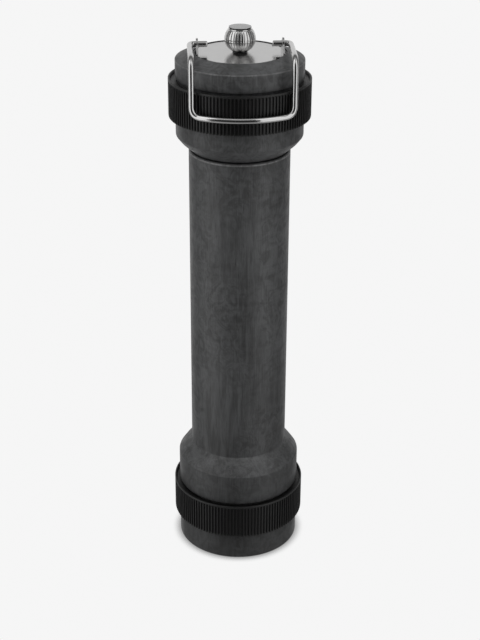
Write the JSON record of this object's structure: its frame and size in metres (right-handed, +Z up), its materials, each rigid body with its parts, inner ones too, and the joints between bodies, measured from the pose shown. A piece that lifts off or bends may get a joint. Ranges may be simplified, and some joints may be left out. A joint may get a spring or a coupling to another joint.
{
  "type": "pepper mill",
  "caption": "Tall graphite wood pepper mill with a turning head, ribbed rubber grip rings, a hinged wire bail and a fluted knob that sets the grind.",
  "frame": {"origin": "centre of the foot's bottom plane, on the mill's turning axis", "axes": "+Z up along the turning axis, -Y towards the side where the bail hangs, +X to the right seen from that side"},
  "size_m": [0.074, 0.077, 0.3],
  "materials": {
    "graphite_wood": "graphite stain under a satin lacquer, faint upright grain",
    "black_rubber": "matte moulded, ribbed",
    "brushed_steel": "fine satin stainless",
    "bright_steel": "polished stainless",
    "chrome_plate": "mirror plate",
    "grinder_steel": "case-hardened, machined",
    "spring_steel": "drawn wire",
    "aluminium": "drawn square bar",
    "black_plastic": "moulded"
  },
  "bodies": {
    "body": {"wood_body": "graphite_wood", "lower_grip_ring": "black_rubber", "stator_ring": "grinder_steel", "retaining_plate": "brushed_steel", "retaining_screw_left": "bright_steel", "retaining_screw_right": "bright_steel", "guide_stirrup": "brushed_steel", "guide_bush": "black_plastic"},
    "thrust_washer": {"thrust_washer": "bright_steel"},
    "spindle": {"square_shaft": "aluminium", "grinder_rotor": "grinder_steel", "rotor_washer": "bright_steel", "rotor_nut": "bright_steel", "grind_spring": "spring_steel"},
    "head": {"wood_head": "graphite_wood", "upper_grip_ring": "black_rubber", "drive_plate": "brushed_steel", "drive_plate_screw_left": "bright_steel", "drive_plate_screw_right": "bright_steel", "top_plate": "brushed_steel"},
    "bail": {"bail_handle": "bright_steel"},
    "knob": {"adjusting_knob": "chrome_plate", "knob_cap": "chrome_plate"}
  },
  "joints": [
    {"name": "head_turn", "type": "hinge", "parent": "body", "child": "thrust_washer", "pos_m": [0, 0, 0.034], "axis": [0, 0, 1], "continuous": true},
    {"name": "grind_adjust", "type": "slide", "parent": "thrust_washer", "child": "spindle", "axis": [0, 0, -1], "range_m": [0, 0.0012], "deforming": ["grind_spring"]},
    {"name": "head_lift", "type": "slide", "parent": "thrust_washer", "child": "head", "axis": [0, 0, 1], "range_m": [0, 0.08]},
    {"name": "knob_turn", "type": "hinge", "parent": "head", "child": "knob", "pos_m": [0, 0, 0.2937], "axis": [0, 0, 1], "range_deg": [0, 540]},
    {"name": "bail_swing", "type": "hinge", "parent": "head", "child": "bail", "pos_m": [0, 0, 0.2911], "axis": [-1, 0, 0], "range_deg": [0, 192]}
  ],
  "couplings": [
    {"joint": "knob_turn", "follows": "grind_adjust", "rad_per_m": 7853.9}
  ]
}
